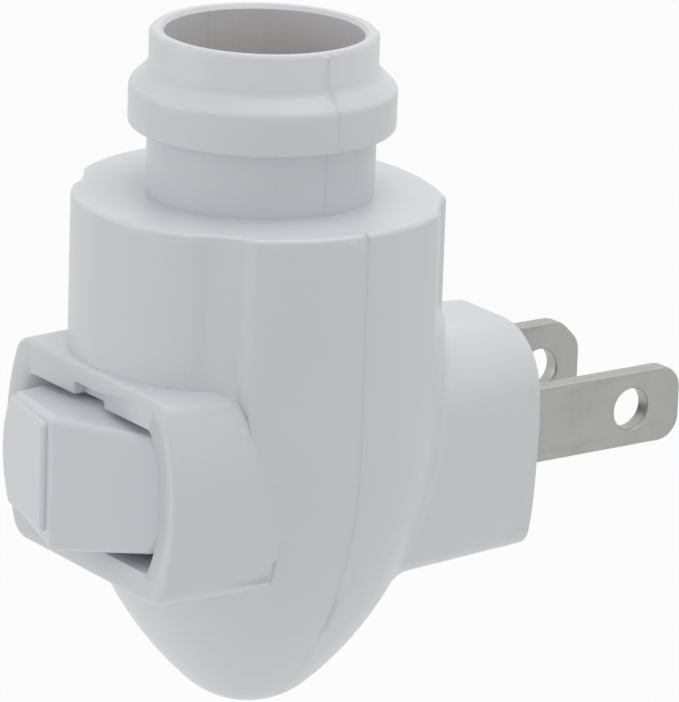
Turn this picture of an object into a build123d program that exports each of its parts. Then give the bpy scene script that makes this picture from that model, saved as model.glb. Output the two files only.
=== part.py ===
"""Plug-in lamp holder: a wall-plug night-light base with a candelabra socket and a rocker switch.

The housing is two moulded halves that meet on a plane through the lamp axis. The front half
carries the switch frame and its rocker, the back half carries the plug boss and two flat blades.
Everything is drawn about the vertical lamp axis and then set back, so that the finished part has
its origin on the boss's wall face, midway between the blades. +Y points into the wall.
"""
import os
from math import cos, hypot, radians, sin, sqrt, tan

from build123d import *

# Driving sizes, in millimetres
# Housing body
wall = 1.9
body_radius = 15.1
shoulder_z = 21.35
side_start_z = 3.7
side_arc_radius = 31.5
tip_z = -21.3
shoulder_round = 1.0
facet_outer_inset = 3.2
facet_inner_inset = 6.1
front_facet_depth = 3.34
front_panel_proud = 0.3
back_facet_depth = 3.25
back_panel_depth = 1.3

# Neck and its shade ring
mouth_gap = 0.1
neck_wall = 1.15
lip_z = 34.4
lip_round = 0.3
ring_reach = 1.55
ring_top_z = 30.0
ring_bottom_z = 26.65

# Switch frame and its opening
frame_z = 0.33
switch_z = 0.18
frame_proud = 0.56
frame_half_height = 8.4
frame_corner_half_width = 10.5
frame_side_bulge = 1.95
frame_flare = 0.9
frame_root_depth = 9.1
frame_corner_round = 1.9
frame_edge_round = 0.35
opening_half_height = 5.9
opening_corner_half_width = 8.75
opening_side_bulge = 1.6
opening_corner_round = 0.8
notch_width = 4.4
notch_rise = 1.05
notch_depth = 1.0

# Rocker
rocker_pivot_depth = 2.46
rocker_nose = 6.8
rocker_slope = 22.4
rocker_half_height = 5.55
rocker_end_top = 5.1
rocker_end_bottom = 4.5
rocker_corner_half_width = 7.85
rocker_side_bulge = 1.65
rocker_wall = 1.5
rocker_skirt_y = -0.6
rocker_rest_tilt = 10.5
rocker_edge_round = 0.6
pad_rise = 0.5
pad_margin = 0.3
pad_ridge_margin = 0.9
trunnion_radius = 1.0
trunnion_length = 1.6
hub_half_width = 2.6
hub_column_half_width = 2.0
hub_reach = 3.0

# Detent spring and plunger
detent_bore_radius = 1.6
detent_bore_bottom = -3.2
spring_wire = 0.35
spring_turns = 5
spring_length = 3.3
plunger_radius = 1.55
plunger_tip = 5.2

# Contact lever, its terminals and contacts
lever_thickness = 0.6
lever_corner_round = 0.8
lever_half_length = 6.5
lever_half_height = 2.0
lever_tilt = 7.0
lever_gap = 0.1
contact_x = 5.6
contact_head_radius = 1.3
contact_head = 0.6
fixed_contact_head = 0.2
contact_shank_radius = 0.7
terminal_thickness = 0.6
pivot_to_terminals = 7.6
base_depth = 2.0
base_corner_round = 0.6
base_half_width = 8.2
base_half_height = 4.8
rib_thickness = 1.2
rib_front_depth = 6.06

# Socket: insulating cup, screw shell and centre contact
cup_floor_bottom_z = 11.0
cup_floor = 2.0
cup_top_z = 19.6
cup_clearance = 0.35
cup_wall = 1.1
cup_flange_reach = 0.75
cup_flange_z = 14.0
cup_flange = 1.2
well_wall = 1.2
well_bottom_z = 12.5
shell_sheet = 0.4
thread_radius = 6.0
thread_length = 11.0
shell_top_z = 27.9
shell_throat_inset = 0.5
shell_hole_radius = 3.2
contact_tongue_width = 3.0
contact_tongue_half_length = 2.4
contact_tongue_top_z = 16.0
strip_thickness = 0.4
rivet_shank_radius = 1.0
rivet_head_radius = 1.5
rivet_head = 0.5
shell_rivet_shank_radius = 0.65
shell_rivet_head_radius = 1.0

# Plug boss and blades
axis_to_wall = 23.0
boss_half_width = 7.75
boss_top_z = 8.15
boss_bottom_z = -10.45
boss_flat_half_width = 2.5
boss_side_taper = 1.0
boss_bottom_round = 2.0
boss_draft = 0.17
boss_top_draft = 0.01
boss_bottom_draft = 0.03
boss_side_crown = 0.1
boss_root_y = 3.0
boss_cavity_root_y = 9.0
boss_rim_break = 0.2
boss_wall = 1.5
boss_back_wall = 2.4
boss_root_blend = 2.6
back_panel_foot_z = 10.9
back_panel_run = 2.6
blade_spacing = 12.7
blade_thickness = 1.52
blade_edge_break = 0.2
blade_length = 14.85
hot_blade_width = 6.35
neutral_blade_width = 7.94
blade_hole_radius = 1.75
blade_hole_y = 32.9
hot_tip_chamfer = 0.9
hot_tip_round = 1.2
neutral_blade_recess = 0.9
neutral_tip_chamfer = 2.0
neutral_tip_round = 1.4
blade_inner_y = 9.6
blade_head_side = 1.0
blade_rivet_y = 11.4
strip_width_y = 3.6

# Locating pegs of the back half and their sockets in the front half
peg_radius = 0.9
peg_length = 2.4
peg_pad_radius = 2.0
upper_peg_inset = 3.5
upper_peg_z = 15.5
lower_peg_inset = 5.9
lower_peg_z = -9.5

# Clearances
fit = 0.05
slack = 0.3

# Places on the body and switch that follow from its radius
facet_outer_x = body_radius - facet_outer_inset
facet_inner_x = body_radius - facet_inner_inset
front_facet_inner_y = front_facet_depth - body_radius
front_panel_y = -body_radius - front_panel_proud
back_facet_inner_y = body_radius - back_facet_depth
back_panel_y = body_radius - back_panel_depth
frame_front_y = -body_radius - frame_proud
frame_root_y = frame_root_depth - body_radius
rib_front_y = frame_front_y + rib_front_depth
rocker_pivot_y = frame_front_y + rocker_pivot_depth
terminal_front_y = rocker_pivot_y + pivot_to_terminals
upper_peg_x = body_radius - upper_peg_inset
lower_peg_x = body_radius - lower_peg_inset
peg_places = [(upper_peg_x, upper_peg_z), (-upper_peg_x, upper_peg_z), (lower_peg_x, lower_peg_z),
              (-lower_peg_x, lower_peg_z)]

# Radii from the screw shell outwards
shell_throat_radius = thread_radius - shell_throat_inset
cup_inner_radius = thread_radius + shell_sheet + cup_clearance
cup_outer_radius = cup_inner_radius + cup_wall
cup_flange_radius = cup_outer_radius + cup_flange_reach
mouth_radius = cup_outer_radius + mouth_gap
neck_radius = mouth_radius + neck_wall
ring_radius = neck_radius + ring_reach


# Small helpers
def slab(x0, x1, y0, y1, z0, z1):
    """A box given by its two opposite corners."""
    return Pos((x0 + x1) / 2, (y0 + y1) / 2, (z0 + z1) / 2) * Box(x1 - x0, y1 - y0, z1 - z0)


def rod(radius, start, end):
    """A round rod between two points."""
    along = Vector(*end) - Vector(*start)
    plane = Plane(origin=start, z_dir=along)
    return extrude(plane * Circle(radius), along.length)


def turned(points):
    """A solid turned about the lamp axis from an outline of (radius, z) points."""
    outline = make_face(Polyline(*[(r, 0, z) for r, z in points], close=True))
    return revolve(outline, Axis.Z)


def front_half(shape):
    return shape & slab(-60, 60, -60, 0, -60, 60)


def back_half(shape):
    return shape & slab(-60, 60, 0, 60, -60, 60)


def arc_sided(half_height, corner_half_width, bulge, y, z, corner_round):
    """Face in the plane Y = y: flat top and bottom, sides bulging outwards as arcs."""
    a, h, b = corner_half_width, half_height, bulge
    edges = Line((-a, h), (a, h))
    edges += ThreePointArc((a, h), (a + b, 0), (a, -h))
    edges += Line((a, -h), (-a, -h))
    edges += ThreePointArc((-a, -h), (-a - b, 0), (-a, h))
    face = make_face(edges)
    face = fillet(face.vertices(), corner_round)
    return Plane(origin=(0, y, z), x_dir=(1, 0, 0), z_dir=(0, -1, 0)) * face


# Housing
def body_plan():
    """Plan of the body: round cheeks, a curved panel front and back, facets between them."""
    facet_outer_y = sqrt(body_radius ** 2 - facet_outer_x ** 2)
    xo, xi = facet_outer_x, facet_inner_x
    edges = Line((-xo, -facet_outer_y), (-xi, front_facet_inner_y))
    edges += ThreePointArc((-xi, front_facet_inner_y), (0, front_panel_y), (xi, front_facet_inner_y))
    edges += Line((xi, front_facet_inner_y), (xo, -facet_outer_y))
    edges += ThreePointArc((xo, -facet_outer_y), (body_radius, 0), (xo, facet_outer_y))
    edges += Line((xo, facet_outer_y), (xi, back_facet_inner_y))
    edges += ThreePointArc((xi, back_facet_inner_y), (0, back_panel_y), (-xi, back_facet_inner_y))
    edges += Line((-xi, back_facet_inner_y), (-xo, facet_outer_y))
    edges += ThreePointArc((-xo, facet_outer_y), (-body_radius, 0), (-xo, -facet_outer_y))
    return make_face(edges)


def bullet(inset):
    """Turned body: a straight cylinder over a side arc and a tangent nose arc, inset by a wall."""
    radius = body_radius - inset
    side = side_arc_radius - inset
    tip = tip_z + inset
    top = shoulder_z - inset
    side_centre = (radius - side, side_start_z)
    nose = (side ** 2 - side_centre[0] ** 2 - (tip - side_start_z) ** 2) / (2 * (side + tip - side_start_z))
    nose_centre = (0.0, tip + nose)
    run = (nose_centre[0] - side_centre[0], nose_centre[1] - side_centre[1])
    size = hypot(*run)
    unit = (run[0] / size, run[1] / size)
    joint = (side_centre[0] + side * unit[0], side_centre[1] + side * unit[1])
    half_drop = (side_start_z - joint[1]) / 2
    side_mid_z = side_start_z - half_drop
    side_mid = (side_centre[0] + sqrt(side ** 2 - half_drop ** 2), side_mid_z)
    nose_mid_x = joint[0] / 2
    nose_mid = (nose_mid_x, nose_centre[1] - sqrt(nose ** 2 - nose_mid_x ** 2))
    edges = ThreePointArc((0, tip), nose_mid, joint)
    edges += ThreePointArc(joint, side_mid, (radius, side_start_z))
    edges += Line((radius, side_start_z), (radius, top))
    edges += Line((radius, top), (0, top))
    edges += Line((0, top), (0, tip))
    return revolve(Plane.XZ * make_face(edges), Axis.Z)


def body_outside():
    prism = extrude(Pos(0, 0, tip_z - 1) * body_plan(), shoulder_z - tip_z + 1)
    body = bullet(0) & prism
    panel = prism & slab(-facet_inner_x, facet_inner_x, front_panel_y - 1, -9, -6, shoulder_z)
    return body + panel


def neck_outside():
    """Neck tube with the shade ring, its top chamfer and its undercut."""
    chamfer = ring_radius - neck_radius
    neck = turned([
        (0, shoulder_z - wall), (neck_radius, shoulder_z - wall), (neck_radius, ring_bottom_z - chamfer),
        (ring_radius, ring_bottom_z), (ring_radius, ring_top_z), (neck_radius, ring_top_z + chamfer),
        (neck_radius, lip_z - lip_round), (neck_radius - lip_round, lip_z), (0, lip_z),
    ])
    return neck


def socket_well():
    """Tube inside the body that holds the insulating cup."""
    outer = mouth_radius + cup_flange_reach + well_wall
    return Pos(0, 0, well_bottom_z) * Cylinder(outer, shoulder_z - wall + 0.5 - well_bottom_z,
                                               align=(Align.CENTER, Align.CENTER, Align.MIN))


def socket_bore():
    """Bore through the neck and the well, with the groove for the cup's flange."""
    bore = Pos(0, 0, well_bottom_z - 1) * Cylinder(mouth_radius, lip_z - well_bottom_z + 2,
                                                   align=(Align.CENTER, Align.CENTER, Align.MIN))
    groove = Pos(0, 0, cup_flange_z - fit) * Cylinder(cup_flange_radius + 2 * fit, cup_flange + 2 * fit,
                                                      align=(Align.CENTER, Align.CENTER, Align.MIN))
    mouth_break = turned([(0, lip_z - lip_round), (mouth_radius, lip_z - lip_round),
                          (mouth_radius + lip_round, lip_z), (mouth_radius + lip_round, lip_z + 1), (0, lip_z + 1)])
    return bore + groove + mouth_break


def switch_frame():
    """Frame round the rocker: front outline flaring out towards the body."""
    half, width, bulge = frame_half_height, frame_corner_half_width, frame_side_bulge
    front = arc_sided(half, width, bulge, frame_front_y, frame_z, frame_corner_round)
    root = arc_sided(half, width + frame_flare, bulge, frame_root_y, frame_z, frame_corner_round)
    frame = loft([front, root])
    rim = frame.faces().sort_by(Axis.Y)[0].edges()
    return fillet(rim, frame_edge_round)


def switch_tunnel():
    """Opening through the frame, with the notch in its top edge over the pivot."""
    opening = arc_sided(opening_half_height, opening_corner_half_width, opening_side_bulge,
                        frame_front_y - 1, switch_z, opening_corner_round)
    tunnel = extrude(opening, -(1 + rib_front_y - frame_front_y))
    top = switch_z + opening_half_height
    notch = slab(-notch_width / 2, notch_width / 2, frame_front_y - 1, frame_front_y + notch_depth,
                 top - 1, top + notch_rise)
    seat_reach = rocker_half_height + trunnion_length + slack / 2
    seats = rod(trunnion_radius + fit, (0, rocker_pivot_y, switch_z - seat_reach),
                (0, rocker_pivot_y, switch_z + seat_reach))
    return tunnel + notch + seats


def base_ribs():
    """Two shelves in the front half that hold the switch base between them."""
    shelves = None
    back_y = terminal_front_y + terminal_thickness + base_depth
    for side in (1, -1):
        inner = switch_z + side * (base_half_height + fit)
        outer = inner + side * rib_thickness
        shelf = slab(-body_radius, body_radius, rib_front_y, back_y, min(inner, outer), max(inner, outer))
        shelves = shelf if shelves is None else shelves + shelf
    tail_room = slack
    fixed_slot = slab(contact_x - 1 - tail_room, contact_x + 1 + tail_room, terminal_front_y - tail_room,
                      back_y + 1, switch_z, switch_z + base_half_height + 3)
    pivot_slot = slab(-1.5 - tail_room, 1.5 + tail_room, terminal_front_y - tail_room, back_y + 1,
                      switch_z - base_half_height - 3, switch_z)
    return shelves - fixed_slot - pivot_slot


def peg_pads(sign):
    """Thickened pads inside the seam where the halves are pegged together."""
    pads = None
    for x, z in peg_places:
        pad = rod(peg_pad_radius, (x, 0, z), (x, sign * (peg_length + 1.0), z))
        pads = pad if pads is None else pads + pad
    return pads


def body_cavity():
    """Hollow of the body, one wall inside its outside everywhere."""
    plan = offset(body_plan(), amount=-wall)
    return bullet(wall) & extrude(Pos(0, 0, tip_z - 1) * plan, shoulder_z - tip_z + 1)


def front_housing():
    body = front_half(body_outside())
    rim = body.edges().filter_by_position(Axis.Z, shoulder_z - 0.01, shoulder_z + 0.01)
    rim = [edge for edge in rim if (edge @ 0.5).Y < -0.5]
    body = fillet(rim, shoulder_round)
    outside = body + front_half(neck_outside()) + (switch_frame() & front_half(Box(80, 80, 80)))
    hollow = body_cavity()
    linings = front_half(socket_well()) + base_ribs() + peg_pads(-1)
    housing = outside - hollow
    housing += linings & body
    housing -= front_half(socket_bore())
    housing -= switch_tunnel()
    for x, z in peg_places:
        housing -= rod(peg_radius + fit, (x, 1, z), (x, -peg_length - fit, z))
    return housing


def boss_section(distance, inset):
    """Outline of the plug boss at a distance in front of its wall face."""
    grow = boss_draft * distance - inset
    a = boss_half_width + grow
    top = boss_top_z + boss_top_draft * distance - inset
    bottom = boss_bottom_z + boss_bottom_draft * distance + inset
    flat = boss_flat_half_width + grow
    corner = a - flat
    rise = min(corner, top)
    edges = Line((-flat, top), (flat, top))
    edges += ThreePointArc((flat, top), (flat + corner * 0.72, top - rise * 0.31), (a, top - rise))
    low = a - boss_side_taper
    middle = (top - rise + bottom) / 2
    edges += ThreePointArc((a, top - rise), (a - boss_side_crown, middle), (low, bottom))
    edges += Line((low, bottom), (-low, bottom))
    edges += ThreePointArc((-low, bottom), (boss_side_crown - a, middle), (-a, top - rise))
    edges += ThreePointArc((-a, top - rise), (-flat - corner * 0.72, top - rise * 0.31), (-flat, top))
    face = make_face(edges)
    feet = face.vertices().sort_by(Axis.Y)[:2]
    face = fillet(feet, max(boss_bottom_round - inset, 0.5))
    return Plane(origin=(0, axis_to_wall - distance, 0), x_dir=(1, 0, 0), z_dir=(0, -1, 0)) * face


def plug_boss():
    boss = loft([boss_section(0, 0), boss_section(axis_to_wall - boss_root_y, 0)])
    return chamfer(boss.faces().sort_by(Axis.Y)[-1].edges(), boss_rim_break)


def boss_cavity():
    return loft([boss_section(boss_back_wall, boss_wall), boss_section(axis_to_wall - boss_cavity_root_y, boss_wall)])


def back_panel_cut():
    """Material outside the plan above the boss; its foot runs out as a cone above the boss's blend."""
    prism = extrude(Pos(0, 0, back_panel_foot_z) * body_plan(), shoulder_z - back_panel_foot_z + 1)
    reach = body_radius - back_panel_y + 0.4
    ring = turned([
        (body_radius - reach, back_panel_foot_z + reach * back_panel_run), (body_radius, back_panel_foot_z),
        (body_radius + 9, back_panel_foot_z), (body_radius + 9, shoulder_z + 1), (body_radius - reach, shoulder_z + 1),
    ])
    return ring - prism


def joined_to_body(boss, body):
    """Body and boss as one solid, blended where they meet."""
    joined = body + boss
    meeting = []
    for edge in joined.edges():
        middle = edge @ 0.5
        on_boss = min(face.distance_to(Vertex(*middle)) for face in boss.faces()) < 0.001
        on_body = min(face.distance_to(Vertex(*middle)) for face in body.faces()) < 0.001
        if on_boss and on_body and middle.Y > boss_root_y:
            meeting.append(edge)
    return fillet(meeting, boss_root_blend)


def blade_slot(side, half_width):
    """Slot for a blade through the boss's back wall, with the taller pocket for its head."""
    x = side * blade_spacing / 2
    t = blade_thickness / 2 + fit
    h = half_width + fit
    inner_wall_y = axis_to_wall - boss_back_wall
    slot = slab(x - t, x + t, blade_inner_y - 1, axis_to_wall + 1, -h, h)
    head = slab(x - t, x + t, blade_inner_y - 1, inner_wall_y, -h - blade_head_side, h + blade_head_side)
    return slot + head


def back_housing():
    body = back_half(bullet(0))
    outside = joined_to_body(plug_boss(), body) - back_panel_cut() + back_half(neck_outside())
    housing = outside - body_cavity() - boss_cavity()
    housing += (back_half(socket_well()) + peg_pads(1)) & body
    housing -= back_half(socket_bore())
    housing -= blade_slot(1, hot_blade_width / 2)
    housing -= blade_slot(-1, neutral_blade_width / 2)
    for x, z in peg_places:
        housing += rod(peg_radius, (x, 0.5, z), (x, -peg_length + slack, z))
    return housing


# Rocker and detent
def rocker_frame():
    """Where the rocker's own axes stand: origin on its pivot, turned to the pressed-in rest tilt."""
    return Pos(0, rocker_pivot_y, switch_z) * Rot(0, 0, rocker_rest_tilt)


def rocker_wedge(lift, back_y, half_height):
    """Wedge with a ridge towards the front, drawn about the pivot."""
    reach = 12.0
    nose_y = -rocker_nose - lift
    edge_y = nose_y + reach * tan(radians(rocker_slope))
    outline = make_face(Polyline((0, nose_y), (reach, edge_y), (reach, back_y), (-reach, back_y),
                                 (-reach, edge_y), close=True))
    return extrude(outline, half_height, both=True)


def rocker_outline(inset, y0, y1):
    """Front outline of the rocker as a prism: arc ends, height falling towards the ends."""
    a = rocker_corner_half_width - inset
    b = rocker_side_bulge
    h = rocker_half_height - inset
    top = rocker_end_top - inset
    low = inset - rocker_end_bottom
    edges = Line((0, h), (a, top))
    edges += ThreePointArc((a, top), (a + b, (top + low) / 2), (a, low))
    edges += Line((a, low), (0, -h))
    edges += Line((0, -h), (-a, low))
    edges += ThreePointArc((-a, low), (-a - b, (top + low) / 2), (-a, top))
    edges += Line((-a, top), (0, h))
    face = make_face(edges)
    plane = Plane(origin=(0, y0, 0), x_dir=(1, 0, 0), z_dir=(0, -1, 0))
    return extrude(plane * face, -(y1 - y0))


def rocker():
    skin = rocker_wedge(0, rocker_skirt_y, 10) & rocker_outline(0, -12, 4)
    front_edges = [e for e in skin.edges() if (e @ 0.5).Y < rocker_skirt_y - 0.6]
    skin = fillet(front_edges, rocker_edge_round)
    pad_box = slab(-12, -pad_ridge_margin, -12, 0, pad_margin - rocker_end_bottom, rocker_end_top - pad_margin)
    pad = rocker_wedge(pad_rise, -2, 10) & rocker_outline(0.1, -12, 4) & pad_box
    pad_edges = [e for e in pad.edges() if (e @ 0.5).Y < -3.2]
    pad = fillet(pad_edges, pad_rise * 0.7)
    hollow = rocker_wedge(-rocker_wall / cos(radians(rocker_slope)), 6, 10) & rocker_outline(rocker_wall, -12, 6)
    column = slab(-hub_column_half_width, hub_column_half_width, -5.2, 1.2,
                  -rocker_half_height + 0.2, rocker_half_height - 0.2)
    hub = slab(-hub_half_width, hub_half_width, -5.2, hub_reach, -hub_half_width, hub_half_width)
    reach = rocker_half_height + trunnion_length
    trunnions = rod(trunnion_radius, (0, 0, -reach), (0, 0, reach))
    bore = rod(detent_bore_radius, (0, detent_bore_bottom, 0), (0, hub_reach + 1, 0))
    piece = (skin + pad) - hollow + column + hub + trunnions - bore
    return rocker_frame() * piece


def detent_spring():
    """Compression spring on the floor of the rocker's bore."""
    radius = detent_bore_radius - spring_wire / 2 - fit
    pitch = (spring_length - spring_wire) / spring_turns
    path = Helix(pitch, pitch * spring_turns, radius)
    section = Plane(origin=path @ 0, z_dir=path % 0) * RegularPolygon(spring_wire / 2, 6)
    coil = sweep(section, path=path)
    lift = detent_bore_bottom + spring_wire / 2 + fit / 2
    return rocker_frame() * Pos(0, lift, 0) * Rot(-90, 0, 0) * coil


def detent_plunger():
    """Round-nosed plunger that the spring drives against the contact lever."""
    seat = detent_bore_bottom + spring_length + fit
    shank = rod(plunger_radius, (0, seat, 0), (0, plunger_tip - plunger_radius, 0))
    nose = Pos(0, plunger_tip - plunger_radius, 0) * Sphere(plunger_radius)
    return rocker_frame() * (shank + nose)


# Contact lever and terminals
def lever_back_y():
    """Y of the lever's back face where it rocks on its fulcrum."""
    return rocker_pivot_y + plunger_tip + lever_gap + lever_thickness


def lever_frame():
    return Pos(0, lever_back_y(), switch_z) * Rot(0, 0, -lever_tilt)


def contact_lever():
    bar = slab(-lever_half_length, lever_half_length, -lever_thickness, 0, -lever_half_height, lever_half_height)
    corners = bar.edges().filter_by(Axis.Y)
    bar = fillet(corners, lever_corner_round)
    bar -= rod(contact_shank_radius, (contact_x, -2, 0), (contact_x, 2, 0))
    return lever_frame() * bar


def moving_contact():
    head = rod(contact_head_radius, (contact_x, 0, 0), (contact_x, contact_head, 0))
    head = fillet(head.edges().sort_by(Axis.Y)[-1], 0.2)
    shank = rod(contact_shank_radius, (contact_x, -lever_thickness, 0), (contact_x, 0.1, 0))
    upset = rod(1.0, (contact_x, -lever_thickness - 0.3, 0), (contact_x, -lever_thickness, 0))
    return lever_frame() * (head + shank + upset)


def pivot_terminal():
    """Brass terminal with the knife edge that the lever rocks on, ears above and below it."""
    front = terminal_front_y
    back = front + terminal_thickness
    low = switch_z - base_half_height - 2.6
    plate = slab(-1.8, 1.8, front, back, switch_z - 3.2, switch_z + 3.2)
    tail = slab(-1.5, 1.5, front, back, low, switch_z)
    edge_y = lever_back_y() + fit
    ridge_face = make_face(Polyline((-1.2, front + 0.1), (0, edge_y), (1.2, front + 0.1), close=True))
    half = lever_half_height
    ridge = extrude(Pos(0, 0, switch_z - half) * ridge_face, 2 * half)
    ears = None
    for side in (1, -1):
        inner = switch_z + side * (lever_half_height + slack)
        outer = inner + side * terminal_thickness
        ear = slab(-1.0, 1.0, edge_y - 1.6, front + 0.1, min(inner, outer), max(inner, outer))
        ears = ear if ears is None else ears + ear
    return plate + tail + ridge + ears


def fixed_terminal():
    front = terminal_front_y
    back = front + terminal_thickness
    plate = slab(contact_x - 1.8, contact_x + 1.8, front, back, switch_z - 1.8, switch_z + 1.8)
    tail = slab(contact_x - 1.0, contact_x + 1.0, front, back, switch_z, cup_floor_bottom_z - 1.4)
    hole = rod(contact_shank_radius, (contact_x, front - 1, switch_z), (contact_x, back + 1, switch_z))
    return plate + tail - hole


def fixed_contact():
    front = terminal_front_y
    head = rod(contact_head_radius, (contact_x, front, switch_z), (contact_x, front - fixed_contact_head, switch_z))
    shank = rod(contact_shank_radius, (contact_x, front, switch_z), (contact_x, front + terminal_thickness, switch_z))
    return head + shank


def switch_base():
    """Insulating block behind the terminals, held between the front half's shelves."""
    front = terminal_front_y + terminal_thickness
    block = slab(-base_half_width, base_half_width, front, front + base_depth,
                 switch_z - base_half_height, switch_z + base_half_height)
    return fillet(block.edges().filter_by(Axis.Y), base_corner_round)


# Socket
def socket_insulator():
    """Insulating cup that holds the screw shell; its flange sits in the housing's groove."""
    cup = turned([
        (0, cup_floor_bottom_z), (cup_outer_radius, cup_floor_bottom_z), (cup_outer_radius, cup_flange_z),
        (cup_flange_radius, cup_flange_z), (cup_flange_radius, cup_flange_z + cup_flange),
        (cup_outer_radius, cup_flange_z + cup_flange), (cup_outer_radius, cup_top_z),
        (cup_inner_radius, cup_top_z), (cup_inner_radius, cup_floor_bottom_z + cup_floor),
        (0, cup_floor_bottom_z + cup_floor),
    ])
    top = cup_floor_bottom_z + cup_floor
    cup -= rod(rivet_shank_radius, (0, 0, cup_floor_bottom_z - 1), (0, 0, top + 1))
    x = -shell_rivet_x()
    return cup - rod(shell_rivet_shank_radius, (x, 0, cup_floor_bottom_z - 1), (x, 0, top + 1))


def shell_rivet_x():
    """Distance of the shell's rivet from the axis, midway across its bottom rim."""
    return (shell_hole_radius + shell_throat_radius) / 2


def screw_shell():
    """Screw shell of thin brass: threaded barrel, drawn-in throat and in-turned bottom rim."""
    bottom = cup_floor_bottom_z + cup_floor
    t = shell_sheet
    barrel_z = shell_top_z - thread_length
    throat_z = barrel_z - 0.6
    shell = turned([
        (shell_hole_radius, bottom), (shell_throat_radius + t, bottom), (shell_throat_radius + t, throat_z),
        (thread_radius + t, barrel_z), (thread_radius + t, shell_top_z), (thread_radius, shell_top_z),
        (thread_radius, barrel_z), (shell_throat_radius, throat_z), (shell_throat_radius, bottom + t),
        (shell_hole_radius, bottom + t),
    ])
    x = shell_rivet_x()
    return shell - rod(shell_rivet_shank_radius, (-x, 0, bottom - 1), (-x, 0, bottom + 1))


def centre_contact():
    """Springy centre contact: a strip folded back over its rivet."""
    z = cup_floor_bottom_z + cup_floor
    t = strip_thickness
    top = contact_tongue_top_z
    half = contact_tongue_half_length
    foot = slab(-contact_tongue_width / 2, contact_tongue_width / 2, -half, half, z, z + t)
    heel = slab(-contact_tongue_width / 2, contact_tongue_width / 2, half - t, half, z, top)
    tongue = slab(-contact_tongue_width / 2, contact_tongue_width / 2, -half * 0.6, half, top - t, top)
    strip = foot + heel + tongue
    bends = strip.edges().filter_by(Axis.X).filter_by_position(Axis.Y, half - 0.01, half + 0.01)
    strip = fillet(bends, t * 0.9)
    return strip - rod(rivet_shank_radius, (0, 0, z - 1), (0, 0, z + 1))


def floor_rivet(x, shank_radius, head_radius):
    """Rivet through the cup's floor, joining what lies above and below it."""
    low = cup_floor_bottom_z - strip_thickness
    high = cup_floor_bottom_z + cup_floor + strip_thickness
    shank = rod(shank_radius, (x, 0, low), (x, 0, high))
    head = rod(head_radius, (x, 0, high), (x, 0, high + rivet_head))
    head = fillet(head.edges().sort_by(Axis.Z)[-1], rivet_head * 0.6)
    upset = rod(head_radius * 0.9, (x, 0, low - rivet_head), (x, 0, low))
    return shank + head + upset


def centre_rivet():
    return floor_rivet(0, rivet_shank_radius, rivet_head_radius)


def shell_rivet():
    return floor_rivet(-shell_rivet_x(), shell_rivet_shank_radius, shell_rivet_head_radius)


def centre_strip():
    """Lead from the fixed terminal's tail up and across to the centre rivet."""
    t = strip_thickness
    top = cup_floor_bottom_z
    back = terminal_front_y + terminal_thickness
    low = switch_z + base_half_height + 0.7
    riser = slab(contact_x - 1, contact_x + 1, back, back + t, low, top)
    run = slab(contact_x - 1.5, contact_x + 1.5, back, 1.6, top - t, top)
    cross = slab(-1.6, contact_x + 1.5, -1.6, 1.6, top - t, top)
    strip = riser + run + cross
    return strip - rod(rivet_shank_radius, (0, 0, top - 1), (0, 0, top + 1))


# Blades and their leads
def blade(side, width, tip_y, slant, rounding):
    """Flat plug blade: hole near the tip, slanted and rounded tip, taller head inside the boss."""
    x = side * blade_spacing / 2
    t = blade_thickness / 2
    h = width / 2
    inner_wall_y = axis_to_wall - boss_back_wall
    run = 0.6 * slant
    outline = make_face(Polyline(
        (blade_inner_y, -h - blade_head_side), (inner_wall_y - fit, -h - blade_head_side),
        (inner_wall_y - fit, -h), (tip_y - slant, -h), (tip_y, -h + run + slant * 0.4),
        (tip_y, h - run - slant * 0.4), (tip_y - slant, h), (inner_wall_y - fit, h),
        (inner_wall_y - fit, h + blade_head_side), (blade_inner_y, h + blade_head_side), close=True))
    tips = [v for v in outline.vertices() if v.X > axis_to_wall + 1]
    outline = fillet(tips, rounding)
    plane = Plane(origin=(x - t, 0, 0), x_dir=(0, 1, 0), z_dir=(1, 0, 0))
    piece = extrude(plane * outline, blade_thickness)
    outer = [e for e in piece.edges() if (e @ 0.5).Y > axis_to_wall + 0.5 and abs((e % 0.5).X) < 0.5]
    piece = chamfer(outer, blade_edge_break)
    piece -= rod(blade_hole_radius, (x - 3, blade_hole_y, 0), (x + 3, blade_hole_y, 0))
    piece -= rod(rivet_shank_radius, (x - 3, blade_rivet_y, 0), (x + 3, blade_rivet_y, 0))
    return piece


def hot_blade():
    return blade(1, hot_blade_width, axis_to_wall + blade_length, hot_tip_chamfer, hot_tip_round)


def neutral_blade():
    tip_y = axis_to_wall + blade_length - neutral_blade_recess
    return blade(-1, neutral_blade_width, tip_y, neutral_tip_chamfer, neutral_tip_round)


def blade_rivet(side):
    """Rivet that fastens a lead strip to the inner side of a blade."""
    outer_x = blade_spacing / 2 + blade_thickness / 2
    inner_x = blade_spacing / 2 - blade_thickness / 2 - strip_thickness
    y = blade_rivet_y
    shank = rod(rivet_shank_radius, (side * inner_x, y, 0), (side * outer_x, y, 0))
    head = rod(rivet_head_radius, (side * (inner_x - rivet_head), y, 0), (side * inner_x, y, 0))
    upset = rod(rivet_head_radius * 0.85, (side * outer_x, y, 0), (side * (outer_x + rivet_head), y, 0))
    return shank + head + upset


def hot_blade_rivet():
    return blade_rivet(1)


def neutral_blade_rivet():
    return blade_rivet(-1)


def blade_leg(side, z0, z1):
    """Part of a lead that lies flat against a blade's inner side."""
    face_x = blade_spacing / 2 - blade_thickness / 2
    x0 = side * (face_x - strip_thickness)
    x1 = side * face_x
    return slab(min(x0, x1), max(x0, x1), blade_inner_y, blade_inner_y + strip_width_y, z0, z1)


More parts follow.
